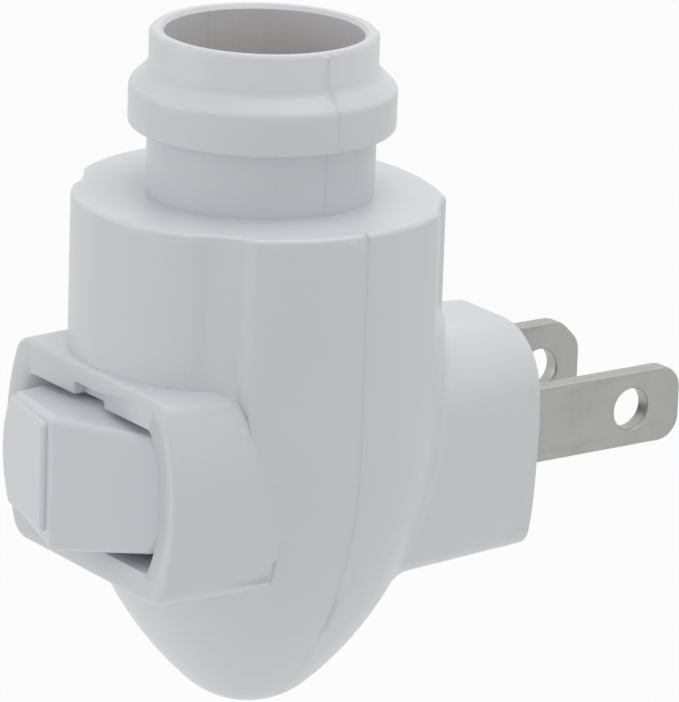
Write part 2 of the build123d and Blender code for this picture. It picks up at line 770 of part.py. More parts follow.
def neutral_strip():
    """Lead from the neutral blade up to the shell's rivet."""
    t = strip_thickness
    top = cup_floor_bottom_z
    face_x = blade_spacing / 2 - blade_thickness / 2
    x = shell_rivet_x()
    back = blade_inner_y + 1.0
    leg = blade_leg(-1, -2.6, boss_top_z - 3.2)
    riser = slab(-face_x, -face_x + t, back - 3.0, back, 2.0, top)
    run = slab(-face_x, -x + 1.4, -1.6, back, top - t, top)
    strip = leg + riser + run
    strip -= rod(shell_rivet_shank_radius, (-x, 0, top - 2), (-x, 0, top + 1))
    return strip - rod(rivet_shank_radius, (-10, blade_rivet_y, 0), (0, blade_rivet_y, 0))


def hot_strip():
    """Lead from the hot blade under the switch to the pivot terminal's tail."""
    t = strip_thickness
    floor = switch_z - base_half_height - 2.6
    back = terminal_front_y + terminal_thickness
    face_x = blade_spacing / 2 - blade_thickness / 2
    leg = blade_leg(1, floor, 2.6)
    across = slab(-1.5, face_x, blade_inner_y, blade_inner_y + strip_width_y, floor, floor + t)
    run = slab(-1.5, 1.5, back, blade_inner_y + strip_width_y, floor, floor + t)
    riser = slab(-1.5, 1.5, back, back + t, floor, switch_z - base_half_height - 0.6)
    strip = leg + across + run + riser
    return strip - rod(rivet_shank_radius, (0, blade_rivet_y, 0), (10, blade_rivet_y, 0))


# Export
pieces = {
    "front_housing": front_housing,
    "back_housing": back_housing,
    "rocker": rocker,
    "detent_spring": detent_spring,
    "detent_plunger": detent_plunger,
    "contact_lever": contact_lever,
    "moving_contact": moving_contact,
    "pivot_terminal": pivot_terminal,
    "fixed_terminal": fixed_terminal,
    "fixed_contact": fixed_contact,
    "switch_base": switch_base,
    "socket_insulator": socket_insulator,
    "screw_shell": screw_shell,
    "centre_contact": centre_contact,
    "centre_rivet": centre_rivet,
    "shell_rivet": shell_rivet,
    "centre_strip": centre_strip,
    "hot_blade": hot_blade,
    "neutral_blade": neutral_blade,
    "hot_blade_rivet": hot_blade_rivet,
    "neutral_blade_rivet": neutral_blade_rivet,
    "neutral_strip": neutral_strip,
    "hot_strip": hot_strip,
}

os.makedirs("parts", exist_ok=True)
for name, make in pieces.items():
    part = Pos(0, -axis_to_wall, 0) * make()
    export_step(part, f"parts/{name}.step")
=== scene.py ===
"""Looks of the plug-in lamp holder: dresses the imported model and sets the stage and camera."""

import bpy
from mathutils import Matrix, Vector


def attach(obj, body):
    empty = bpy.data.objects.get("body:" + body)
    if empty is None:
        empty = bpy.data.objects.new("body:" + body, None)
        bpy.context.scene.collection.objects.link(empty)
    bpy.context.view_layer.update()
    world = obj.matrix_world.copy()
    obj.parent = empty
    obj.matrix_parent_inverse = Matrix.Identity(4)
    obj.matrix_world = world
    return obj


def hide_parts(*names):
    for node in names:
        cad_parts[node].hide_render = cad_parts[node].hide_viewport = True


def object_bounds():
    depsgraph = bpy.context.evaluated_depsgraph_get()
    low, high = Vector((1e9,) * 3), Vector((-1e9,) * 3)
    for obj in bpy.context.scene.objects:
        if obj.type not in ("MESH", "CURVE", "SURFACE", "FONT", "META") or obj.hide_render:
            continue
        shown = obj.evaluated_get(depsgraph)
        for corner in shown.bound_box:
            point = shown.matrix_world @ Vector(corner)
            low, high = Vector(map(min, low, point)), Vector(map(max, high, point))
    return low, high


bl_info = {
    "name": "Plug-in lamp holder",
    "version": (1, 0, 0),
    "blender": (4, 5, 0),
    "location": "View3D > Sidebar > Lamp holder",
    "description": "Dresses a plug-in lamp holder: moulded halves, rocker, shell, contacts, blades",
    "category": "Object",
}

from math import atan2, cos, degrees, hypot, pi, radians, sin, sqrt

import bmesh
import bpy
from mathutils import Matrix, Vector

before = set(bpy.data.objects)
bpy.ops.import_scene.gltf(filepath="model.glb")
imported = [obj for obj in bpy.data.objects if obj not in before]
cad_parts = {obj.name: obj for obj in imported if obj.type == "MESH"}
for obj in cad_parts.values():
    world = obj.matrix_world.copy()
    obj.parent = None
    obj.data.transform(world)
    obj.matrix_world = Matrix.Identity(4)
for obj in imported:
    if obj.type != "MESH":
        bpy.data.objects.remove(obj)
cad_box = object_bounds()

# Sizes are in millimetres and places are about the lamp axis, with y towards the wall and z up.
# A side of -1 is the front half and 1 the back half.
MM = 0.001
AXIS_TO_WALL = 23.0

# The rocker's pivot and its pressed-in tilt in degrees, as in the model's source
PIVOT = (0.0, -13.2, 0.18)
REST_TILT = 10.5

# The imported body: radius, top, lower end of the straight side and radius of the side arc below it
BODY_RADIUS = 15.1
SHOULDER_Z = 21.35
SIDE_START_Z = 3.7
SIDE_ARC = 31.5
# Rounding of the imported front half's shoulder
PACKED_ROUND = 1.0
# Corners of the facets beside each panel, at the round side and at the panel, and the panel's bulge
FACET_OUTER = (11.9, 9.295)
FACET_INNER = {-1: (9.0, 11.76), 1: (9.0, 11.85)}
PANEL_MIDDLE = {-1: 15.4, 1: 13.8}
# Foot of the back panel, and the height in which it goes in by one millimetre
BACK_FOOT_Z = 10.9
BACK_RUN = 2.6

# The neck and its ring, the reach below the ring that takes in its packed undercut, and the angle
# in degrees of the chamfer above it
NECK_RADIUS = 9.1
RING_RADIUS = 10.65
RING_BOTTOM_Z = 26.65
RING_TOP_Z = 30.0
UNDERCUT_REACH = 1.6
RING_CHAMFER = 45.0

# How near a point counts as on the skin, on the neck, on a height, and as already in its place
SKIN_REACH = 0.07
NECK_REACH = 0.05
LEVEL_REACH = 0.01
SAME_PLACE = 0.001
FRAME_SAME_PLACE = 0.02
# Half height of the band with the switch frame, and the lowest skin looked at beside it
FRAME_HALF_BAND = 9.5
FRAME_SKIN_LOW_Z = -16.0

# The flutes beside the panels: angle in degrees from the panel's middle, and depth
FLUTE = ((36.2, 0.29), (39.8, 0.69), (50.9, 0.56), (54.7, 0.0))
FLUTE_SOFTNESS = 0.9
FLUTE_END_Z = -4.5
EASING = (-1.0, -0.5, 0.0, 0.5, 1.0)

# Heights and arc angles at which the halves are cut to give the new form its rows of points
FRONT_CUTS = tuple(SIDE_START_Z - 0.6 * k for k in range(1, 12)) + (5.5, 7.5, 9.5, 11.5)
BACK_CUTS = tuple(BACK_FOOT_Z + 0.3 * k for k in range(8))
UPPER_CUTS = (13.5, 15.5, 17.5, 19.5, SHOULDER_Z - 0.5)
SHOULDER_ANGLES = (0, 18, 36, 54, 72)
RING_ANGLES = (20, 42, 64, 90)
RING_ARC_STEPS = 4

# Edges steeper than this many degrees stay crisp, on most pieces and on the eased halves
SHARP_FROM = 38
EASED_SHARP_FROM = 19

# Blades: node, place across, half height, reach of the tip, slant and rounding of its corners
BLADES = (
    ("hot_blade", 6.35, 3.175, 37.85, 1.2, 1.9),
    ("neutral_blade", -6.35, 3.97, 36.95, 2.0, 2.1),
)
BLADE_HALF_SHEET = 0.76
# The blades' wider tail: its ends along the blade, its reach past the blade's height, its rounding
TAIL_START, TAIL_END = 9.6, 20.55
TAIL_MARGIN = 1.0
TAIL_ROUND = 0.3
# Holes of each blade: place along it and radius
BLADE_HOLES = ((32.9, 1.75), (11.4, 1.0))
HOLE_POINTS = 48

# The screw shell: sheet, floor, hole in the floor, height of the floor's bend, barrel and thread
SHELL_SHEET = 0.4
SHELL_FLOOR_Z = 13.0
SHELL_HOLE_RADIUS = 3.2
SHELL_BEND_Z = 13.9
BARREL_Z = 16.9
SHELL_TOP_Z = 27.9
THREAD_RADIUS = 6.0
THREAD_FADE_LOW = 1.2
THREAD_FADE_TOP = 1.0
SHELL_AROUND = 96
SHELL_ROWS = 88
# Inside of the shell below its barrel, as radius and height
SHELL_FOOT = (
    (SHELL_HOLE_RADIUS, SHELL_FLOOR_Z + SHELL_SHEET), (5.2, SHELL_FLOOR_Z + SHELL_SHEET),
    (5.42, SHELL_FLOOR_Z + SHELL_SHEET * 1.4), (5.5, 14.0), (5.5, 16.3), (5.6, 16.6),
)

# The detent spring: ends along its bore, bore radius, clearance, closed turns at each end, their
# rise as a share of the wire, and points in a turn
SPRING_LOW, SPRING_HIGH = -3.0, 0.05
SPRING_BORE = 1.6
SPRING_CLEARANCE = 0.05
CLOSED_TURNS = 1.0
CLOSED_RISE = 0.55
TURN_POINTS = 28

# Stage, in metres: the floor's half side, the height that the lamps aim at, and each lamp's name,
# place from there, side and power in watts
FLOOR_HALF_SIDE = 1.5
AIM_Z = 0.004
LAMPS = (
    ("overhead softbox", (0.05, 0.1, 0.5), 0.42, 0.84),
    ("window side softbox", (0.42, 0.22, 0.2), 0.3, 0.04),
    ("switch side softbox", (-0.25, -0.5, 0.12), 0.36, 0.42),
)
# The white room: its light on things, its brightness where it is seen, and the floor's own share
ROOM_LIGHT = 0.58
ROOM_SEEN = 1.0
FLOOR_GLOW_SHARE = 0.93

# The photograph's camera, fitted to it: angles in degrees, distance and shifts in millimetres, and
# the focal length and the picture's width in pixels
CAMERA_AROUND, CAMERA_DOWN, CAMERA_ROLL = 54.72, 16.84, 1.94
CAMERA_AWAY = 476.9
CAMERA_SHIFT = (6.99, 7.56)
FOCAL_PIXELS = 5937.8
PICTURE_WIDTH = 679
SENSOR_MM = 36.0


# Small helpers shared by the operators
def row_point(x, y, z):
    """A point given in millimetres about the lamp axis, in metres in the row's own frame."""
    return Vector((x, y - AXIS_TO_WALL, z)) * MM


def linear_colour(hex_value):
    """An sRGB hex value such as #E6E7EA as the linear colour that a shader takes."""
    parts = [int(hex_value[i:i + 2], 16) / 255 for i in (1, 3, 5)]
    linear = [c / 12.92 if c <= 0.04045 else ((c + 0.055) / 1.055) ** 2.4 for c in parts]
    return tuple(linear) + (1.0,)


def shaded(colour, share):
    """The same colour with this share of its light."""
    return tuple(c * share for c in colour[:3]) + (1.0,)


def add_node(tree, kind, settings, links=()):
    """Adds one node, sets its properties and input values, and links its inputs."""
    node = tree.nodes.new(kind)
    for name, value in settings.items():
        if isinstance(name, str) and hasattr(node, name):
            setattr(node, name, value)
        else:
            node.inputs[name].default_value = value
    for name, source in links:
        tree.links.new(source, node.inputs[name])
    return node


def noise(tree, where, size_mm, settings):
    """Noise with waves of this size."""
    settings = {"Scale": 1 / (size_mm * MM), **settings}
    return add_node(tree, "ShaderNodeTexNoise", settings, [("Vector", where)])


def bump(tree, height, strength, depth_mm, under=None):
    """A bump of this depth, over another one where that is given."""
    links = [("Height", height)]
    if under is not None:
        links.append(("Normal", under.outputs["Normal"]))
    return add_node(tree, "ShaderNodeBump", {"Strength": strength, "Distance": depth_mm * MM}, links)


def map_range(tree, value, low, high, settings=None):
    """The value's range drawn out from low to high."""
    settings = {**(settings or {}), "To Min": low, "To Max": high}
    return add_node(tree, "ShaderNodeMapRange", settings, [("Value", value)])


def mix_colours(tree, share, first, second):
    """Two colours mixed by a share of the second."""
    settings = {"data_type": "RGBA", 6: first, 7: second}
    return add_node(tree, "ShaderNodeMix", settings, [(0, share)])


def object_place(tree):
    """The output that gives each point's place in its own object."""
    return add_node(tree, "ShaderNodeTexCoord", {}).outputs["Object"]


def new_material(name):
    """An empty node material, with its tree."""
    material = bpy.data.materials.new(name)
    material.use_nodes = True
    tree = material.node_tree
    tree.nodes.clear()
    return material, tree


def seen_directly(tree):
    """1 for rays from the camera, off a gloss or through glass, 0 for the light on things."""
    path = add_node(tree, "ShaderNodeLightPath", {})
    open_rays = add_node(
        tree, "ShaderNodeMath", {"operation": "MAXIMUM"},
        [(0, path.outputs["Is Camera Ray"]), (1, path.outputs["Is Transmission Ray"])])
    return add_node(
        tree, "ShaderNodeMath", {"operation": "MAXIMUM"},
        [(0, open_rays.outputs[0]), (1, path.outputs["Is Glossy Ray"])])


def finish_material(tree, shader, relief=None):
    """Gives the shader its relief and joins it to the material's output."""
    if relief is not None:
        tree.links.new(relief.outputs["Normal"], shader.inputs["Normal"])
    add_node(tree, "ShaderNodeOutputMaterial", {}, [("Surface", shader.outputs[0])])


def wear(obj, material):
    """The object takes this one material."""
    obj.data.materials.clear()
    obj.data.materials.append(material)
    obj.material_slots[0].material = material


def piece_from_mesh(name, mesh, body, material, stands_for, sharp_from=SHARP_FROM):
    """A finished mesh becomes a piece that rides a body and stands for a node of the model."""
    mesh.name = name
    obj = bpy.data.objects.new(name, mesh)
    bpy.context.scene.collection.objects.link(obj)
    for polygon in mesh.polygons:
        polygon.use_smooth = True
    mesh.set_sharp_from_angle(angle=radians(sharp_from))
    wear(obj, material)
    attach(obj, body)
    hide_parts(stands_for)
    return obj


def mesh_from_work(name, work):
    """The mesh of a finished bmesh, which is then gone."""
    mesh = bpy.data.meshes.new(name)
    work.to_mesh(mesh)
    work.free()
    return mesh


def add_spline(curve, points, closed):
    """A straight-sided spline through points in millimetres."""
    spline = curve.splines.new("POLY")
    spline.points.add(len(points) - 1)
    for point, place in zip(spline.points, points):
        point.co = (place[0] * MM, place[1] * MM, place[2] * MM, 1.0)
    spline.use_cyclic_u = closed


def mesh_from_curve(curve, matrix):
    """The mesh of a curve with its bevel and fill, placed by a matrix; the curve is then gone."""
    holder = bpy.data.objects.new("curve_former", curve)
    bpy.context.scene.collection.objects.link(holder)
    bpy.context.view_layer.update()
    depsgraph = bpy.context.evaluated_depsgraph_get()
    mesh = bpy.data.meshes.new_from_object(holder.evaluated_get(depsgraph))
    mesh.transform(matrix)
    bpy.data.objects.remove(holder)
    bpy.data.curves.remove(curve)
    work = bmesh.new()
    work.from_mesh(mesh)
    bmesh.ops.remove_doubles(work, verts=work.verts, dist=1e-7)
    bmesh.ops.recalc_face_normals(work, faces=work.faces)
    work.to_mesh(mesh)
    work.free()
    return mesh


def rounded_outline(corners, steps=8):
    """Points of a closed outline from (x, y, corner radius) entries, with each corner as an arc."""
    points = []
    count = len(corners)
    for i, (x, y, radius) in enumerate(corners):
        here = Vector((x, y))
        before = (Vector(corners[i - 1][:2]) - here).normalized()
        after = (Vector(corners[(i + 1) % count][:2]) - here).normalized()
        if radius <= 0:
            points.append(here)
            continue
        half = before.angle(after) / 2
        reach = radius / max(1e-6, abs(sin(half) / cos(half)))
        centre = here + (before + after).normalized() * (radius / sin(half))
        start = here + before * reach - centre
        end = here + after * reach - centre
        for k in range(steps + 1):
            t = k / steps
            spoke = start.slerp(end, t) if start.angle(end) > 1e-4 else start.copy()
            points.append(centre + spoke.normalized() * radius)
    return points


# The housing halves: where their packed skin is, and where the flutes and roundings take it
def packed_radius(angle, side):
    """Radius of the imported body's plan at an angle in degrees from the middle of its panel."""
    inner = FACET_INNER[side]
    if angle >= degrees(atan2(*FACET_OUTER)):
        return BODY_RADIUS
    across, along = sin(radians(angle)), cos(radians(angle))
    if angle >= degrees(atan2(*inner)):
        run = (FACET_OUTER[0] - inner[0], FACET_OUTER[1] - inner[1])
        return (inner[0] * run[1] - inner[1] * run[0]) / (across * run[1] - along * run[0])
    rise = PANEL_MIDDLE[side] - inner[1]
    arc = (inner[0] ** 2 + rise ** 2) / (2 * rise)
    centre = PANEL_MIDDLE[side] - arc
    return centre * along + sqrt(arc ** 2 - (centre * across) ** 2)


def fluted_radius(angle, side):
    """Radius of the body's plan with its sunk flutes, as a mean over near angles that eases them."""
    total = 0.0
    for share in EASING:
        here = angle + share * FLUTE_SOFTNESS
        if here >= FLUTE[-1][0] or here <= FLUTE[0][0]:
            total += packed_radius(max(here, 0.0), side)
            continue
        for (a0, d0), (a1, d1) in zip(FLUTE, FLUTE[1:]):
            if a0 <= here <= a1:
                total += BODY_RADIUS - d0 - (d1 - d0) * (here - a0) / (a1 - a0)
                break
    return total / len(EASING)


def side_radius(z):
    """Radius of the turned body at a height, straight above and on the side arc below."""
    drop = max(0.0, SIDE_START_Z - z)
    return BODY_RADIUS - SIDE_ARC + sqrt(max(0.0, SIDE_ARC ** 2 - drop ** 2))


def back_slope(z):
    """Radius at a height of the slope from the back panel's foot up to the panel."""
    return BODY_RADIUS - max(0.0, z - BACK_FOOT_Z) / BACK_RUN


def packed_skin(x, y, z, side):
    """A point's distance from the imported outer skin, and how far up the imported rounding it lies."""
    radius = packed_radius(degrees(atan2(abs(x), side * y)), side)
    if side > 0:
        radius = max(radius, back_slope(z))
    radius = min(radius, side_radius(z)) if z < SIDE_START_Z else radius
    turn = 0.0
    if side < 0 and z > SHOULDER_Z - PACKED_ROUND:
        turn = min(1.0, (z - SHOULDER_Z + PACKED_ROUND) / PACKED_ROUND)
        radius -= PACKED_ROUND * (1 - sqrt(1 - turn ** 2))
    return hypot(x, y) - radius, turn


def place_of(vert):
    """A mesh point's place in millimetres about the lamp axis."""
    return vert.co.x / MM, vert.co.y / MM + AXIS_TO_WALL, vert.co.z / MM


def on_body(vert, side, low=FLUTE_END_Z):
    """Whether a point lies on the half's outer skin, from a lowest height to the shoulder."""
    x, y, z = place_of(vert)
    within = low < z < SHOULDER_Z + LEVEL_REACH and y * side > -LEVEL_REACH
    return within and abs(packed_skin(x, y, z, side)[0]) < SKIN_REACH


def on_ring(vert):
    """Whether a point lies on the ring, its packed undercut or the neck's outside above it."""
    x, y, z = place_of(vert)
    return z > RING_BOTTOM_Z - UNDERCUT_REACH and hypot(x, y) > NECK_RADIUS - NECK_REACH


def body_faces(work, side, hand):
    """Faces of the outer skin on one hand, x above 0 (1) or below (-1), or on both (0)."""
    skin = {vert: on_body(vert, side) and vert.co.x * hand >= 0 for vert in work.verts}
    return [face for face in work.faces if all(skin[vert] for vert in face.verts)]


def ring_faces(work):
    """Faces that lie on the ring with all their points."""
    return [face for face in work.faces if all(on_ring(vert) for vert in face.verts)]


def cut_through(work, faces, point, normal):
    """Cuts these faces with a plane, which leaves a row of points along it."""
    geometry = set(faces)
    for face in faces:
        geometry.update(face.edges)
        geometry.update(face.verts)
    bmesh.ops.bisect_plane(work, geom=list(geometry), dist=1e-7, plane_co=point, plane_no=normal)


def ring_arc(top_round):
    """Heights between which the rounding over the ring's chamfer runs."""
    half = radians(RING_CHAMFER / 2)
    start = RING_TOP_Z - top_round * sin(half) / cos(half)
    return start, start + top_round * sin(radians(RING_CHAMFER))


def cut_rows(work, side, shoulder_round, top_round, low_round):
    """Cuts that give the flutes, the rounded shoulder and the ring's edges rows of points."""
    shifts = (-FLUTE_SOFTNESS, 0.0, FLUTE_SOFTNESS)
    for angle in sorted(a + shift for a, _ in FLUTE for shift in shifts):
        for hand in (1, -1):
            normal = Vector((cos(radians(angle)), -hand * side * sin(radians(angle)), 0.0))
            cut_through(work, body_faces(work, side, hand), row_point(0, 0, 0), normal)
    heights = (BACK_CUTS if side > 0 else FRONT_CUTS) + UPPER_CUTS
    if side > 0:
        heights += tuple(SHOULDER_Z - shoulder_round * (1 - sin(radians(t)))
                         for t in SHOULDER_ANGLES)
    for height in heights:
        cut_through(work, body_faces(work, side, 0), row_point(0, 0, height), Vector((0, 0, 1)))
    start, end = ring_arc(top_round)
    levels = [start + (end - start) * k / RING_ARC_STEPS for k in range(RING_ARC_STEPS + 1)]
    levels += [RING_BOTTOM_Z + low_round * (1 - cos(radians(t))) for t in RING_ANGLES]
    for height in levels:
        cut_through(work, ring_faces(work), row_point(0, 0, height), Vector((0, 0, 1)))


def frame_join(work):
    """Points where the front half's skin meets the switch frame; edges along that join go crisp."""
    skin = {vert: on_body(vert, -1, FRAME_SKIN_LOW_Z) for vert in work.verts}
    join = {vert for vert in work.verts
            if skin[vert] and abs(vert.co.z / MM) < FRAME_HALF_BAND
            and any(not skin[near] for face in vert.link_faces for near in face.verts)}
    for edge in work.edges:
        kinds = {all(skin[vert] for vert in face.verts) for face in edge.link_faces}
        if len(kinds) == 2 and all(vert in join for vert in edge.verts):
            edge.smooth = False
    return join


def eased_ring(x, y, z, top_round, low_round):
    """Where a point of the ring goes: flat below, and rounded underneath and over the chamfer."""
    radius = hypot(x, y)
    start, end = ring_arc(top_round)
    if z < RING_BOTTOM_Z - SAME_PLACE:
        kept = min(1.0, (RING_RADIUS - low_round) / radius)
        return x * kept, y * kept, RING_BOTTOM_Z
    if z <= RING_BOTTOM_Z + low_round:
        drop = RING_BOTTOM_Z + low_round - max(z, RING_BOTTOM_Z)
        grown = RING_RADIUS - low_round + sqrt(max(0.0, low_round ** 2 - drop ** 2))
    elif start - 1e-4 <= z <= end + 1e-4:
        grown = RING_RADIUS - top_round + sqrt(top_round ** 2 - (z - start) ** 2)
    else:
        return x, y, z
    return x * grown / radius, y * grown / radius, z


def eased_body(x, y, z, side, shoulder_round, at_frame):
    """Where a point of the skin goes: into the flute or rounding, at the frame along y alone."""
    radius = hypot(x, y)
    angle = degrees(atan2(abs(x), side * y))
    turn = packed_skin(x, y, z, side)[1]
    if side > 0 and z > SHOULDER_Z - shoulder_round:
        turn = min(1.0, (z - SHOULDER_Z + shoulder_round) / shoulder_round)
    elif turn > 0:
        z = SHOULDER_Z - shoulder_round * (1 - turn)
    goal = fluted_radius(angle, side)
    if side > 0:
        goal = max(goal, back_slope(z))
    goal = min(goal, side_radius(z)) - shoulder_round * (1 - sqrt(1 - turn ** 2))
    if at_frame:
        if goal < radius - FRAME_SAME_PLACE:
            y = -sqrt(goal ** 2 - x ** 2)
    elif z > SHOULDER_Z - PACKED_ROUND - LEVEL_REACH or goal < radius - SAME_PLACE:
        x, y = x * goal / radius, y * goal / radius
    return x, y, z


def eased_half(node, side, shoulder_round, top_round, low_round):
    """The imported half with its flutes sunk, shoulder and ring rounded and the ring flat below."""
    work = bmesh.new()
    work.from_mesh(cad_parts[node].data)
    bmesh.ops.remove_doubles(work, verts=work.verts, dist=1e-6)
    cut_rows(work, side, shoulder_round, top_round, low_round)
    join = frame_join(work) if side < 0 else set()
    for vert in work.verts:
        place = place_of(vert)
        if on_ring(vert):
            place = eased_ring(*place, top_round, low_round)
        elif on_body(vert, side):
            place = eased_body(*place, side, shoulder_round, vert in join)
        vert.co = row_point(*place)
    bmesh.ops.dissolve_degenerate(work, dist=1e-7, edges=work.edges)
    bmesh.ops.recalc_face_normals(work, faces=work.faces)
    return mesh_from_work(node + "_moulded", work)


def blade_mesh(name, x, half, tip, slant, bend, edge):
    """A stamped blade with rounded edges and its holes."""
    tail = half + TAIL_MARGIN
    outline = rounded_outline([
        (TAIL_START, -tail, TAIL_ROUND), (TAIL_END, -tail, 0.0), (TAIL_END, -half, 0.0),
        (tip - slant, -half, bend), (tip, slant - half, bend), (tip, half - slant, bend),
        (tip - slant, half, bend), (TAIL_END, half, 0.0), (TAIL_END, tail, 0.0),
        (TAIL_START, tail, TAIL_ROUND)])
    curve = bpy.data.curves.new(name, "CURVE")
    curve.dimensions = "2D"
    curve.fill_mode = "BOTH"
    add_spline(curve, [(point.x, point.y, 0.0) for point in outline], True)
    angles = [2 * pi * k / HOLE_POINTS for k in range(HOLE_POINTS)]
    for centre, radius in BLADE_HOLES:
        hole = [Vector((centre + radius * cos(a), radius * sin(a), 0.0)) for a in angles]
        add_spline(curve, hole, True)
    curve.extrude = (BLADE_HALF_SHEET - edge) * MM
    curve.bevel_depth = edge * MM
    curve.bevel_resolution = 3
    curve.offset = -edge * MM
    # The outline is drawn flat as (along, up) and stood on the blade's middle plane
    stand = Matrix((
        (0, 0, 1, x * MM), (1, 0, 0, -AXIS_TO_WALL * MM), (0, 1, 0, 0), (0, 0, 0, 1)))
    return mesh_from_curve(curve, stand)


def shell_radius(z, around, pitch, depth):
    """Inside radius of the barrel: a wave that climbs one pitch in a turn and fades at both ends."""
    fade = min(1.0, (z - BARREL_Z) / THREAD_FADE_LOW, max(0.0, (SHELL_TOP_Z - z) / THREAD_FADE_TOP))
    wave = 0.5 - 0.5 * cos(2 * pi * (z / pitch - around))
    return THREAD_RADIUS - depth * fade * wave


def shell_mesh(pitch, depth):
    """The screw shell in sheet, with its inside and outside joined at the rim and at the hole."""
    rings = list(SHELL_FOOT)
    rings += [(None, BARREL_Z + (SHELL_TOP_Z - BARREL_Z) * k / SHELL_ROWS)
              for k in range(SHELL_ROWS + 1)]
    work = bmesh.new()
    grid = []
    for outside in (False, True):
        for r, z in rings:
            ring = []
            for k in range(SHELL_AROUND):
                angle = 2 * pi * k / SHELL_AROUND
                radius = shell_radius(z, k / SHELL_AROUND, pitch, depth) if r is None else r
                height = z
                if outside and z > SHELL_BEND_Z:
                    radius += SHELL_SHEET
                elif outside:
                    radius += min(SHELL_SHEET, SHELL_SHEET * (radius - SHELL_HOLE_RADIUS) / 2)
                    height = SHELL_FLOOR_Z
                place = row_point(radius * cos(angle), radius * sin(angle), height)
                ring.append(work.verts.new(place))
            grid.append(ring)
    count = len(rings)
    order = list(range(count)) + list(range(2 * count - 1, count - 1, -1))
    for a, b in zip(order, order[1:] + order[:1]):
        for k in range(SHELL_AROUND):
            n = (k + 1) % SHELL_AROUND
            work.faces.new((grid[a][k], grid[a][n], grid[b][n], grid[b][k]))
    bmesh.ops.recalc_face_normals(work, faces=work.faces)
    return mesh_from_work("screw_shell_rolled", work)


def spring_mesh(wire, working_turns):
    """Round wire along the hub's bore, with working turns between closed end turns."""
    radius = SPRING_BORE - wire / 2 - SPRING_CLEARANCE
    rise = wire * CLOSED_RISE
    turns = working_turns + 2 * CLOSED_TURNS
    steps = int(turns * TURN_POINTS)
    points = []
    for k in range(steps + 1):
        turn = turns * k / steps
        share = min(1.0, max(0.0, (turn - CLOSED_TURNS) / working_turns))
        closed = rise * min(turn, CLOSED_TURNS)
        closed += rise * max(0.0, turn - CLOSED_TURNS - working_turns)
        height = SPRING_LOW + closed + share * (SPRING_HIGH - SPRING_LOW - 2 * CLOSED_TURNS * rise)
        angle = 2 * pi * turn
        points.append((radius * cos(angle), height, radius * sin(angle)))
    curve = bpy.data.curves.new("detent_spring_wire", "CURVE")
    curve.dimensions = "3D"
    add_spline(curve, points, False)
    curve.bevel_depth = wire / 2 * MM
    curve.bevel_resolution = 3
    curve.use_fill_caps = True
    tilt = Matrix.Translation(row_point(*PIVOT)) @ Matrix.Rotation(radians(REST_TILT), 4, "Z")
    return mesh_from_curve(curve, tilt)


# Sizes and finishes that a user would change
def size_property(name, what, default, low, high):
    """A length in millimetres."""
    return bpy.props.FloatProperty(
        name=name, description=what + ", in millimetres", default=default, min=low, max=high)


def finish_property(name, what, default):
    """A colour as an sRGB hex value."""
    return bpy.props.StringProperty(
        name=name, description="Colour of the " + what + ", as sRGB hex", default=default)


class LampHolderSizes(bpy.types.PropertyGroup):
    thread_pitch: size_property(
        "Thread pitch", "Rise of the rolled thread in one turn", 2.54, 1.0, 5.0)
    thread_depth: size_property("Thread depth", "Depth of the rolled thread", 0.5, 0.1, 1.0)
    blade_edge: size_property(
        "Blade edge", "Rounding of the blades' stamped edges", 0.2, 0.05, 0.6)
    spring_wire: size_property(
        "Spring wire", "Diameter of the detent spring's wire", 0.35, 0.1, 0.6)
    spring_turns: bpy.props.IntProperty(
        name="Spring turns", description="Working turns of the detent spring",
        default=5, min=3, max=9)
    shoulder_round: size_property(
        "Shoulder rounding", "Rounding of the body's top edge", 0.4, 0.1, 0.9)
    ring_top_round: size_property(
        "Ring top rounding", "Rounding over the ring's chamfer", 0.7, 0.1, 1.5)
    ring_bottom_round: size_property(
        "Ring bottom rounding", "Rounding under the ring", 0.4, 0.1, 0.8)
    floor_drop: bpy.props.FloatProperty(
        name="Floor drop", description="How far the floor lies below the part's tip",
        default=0.16, min=0.0, max=1.0, subtype="DISTANCE", unit="LENGTH")


class LampHolderFinishes(bpy.types.PropertyGroup):
    housing_white: finish_property("Housing white", "moulded halves", "#E1E2E6")
    rocker_white: finish_property("Rocker white", "rocker", "#E1E2E7")
    nickel: finish_property("Nickel", "nickel plating", "#B7B7B5")
    shell_brass: finish_property("Shell brass", "bright rolled brass", "#D8BB76")
    strip_brass: finish_property("Strip brass", "stamped brass", "#C9A562")
    silver: finish_property("Contact silver", "contact rivets", "#E2E0DA")
    steel: finish_property("Spring steel", "drawn spring wire", "#9C9DA0")
    zinc: finish_property("Rivet zinc", "plated rivets", "#C3C4C6")
    phenolic: finish_property("Phenolic brown", "switch base", "#3B2A22")
    cream: finish_property("Cream melamine", "insulating cup", "#DDD8CB")
    acetal: finish_property("Natural acetal", "detent plunger", "#E8E6E0")
    floor: finish_property("Floor", "pale floor", "#F4F4F4")


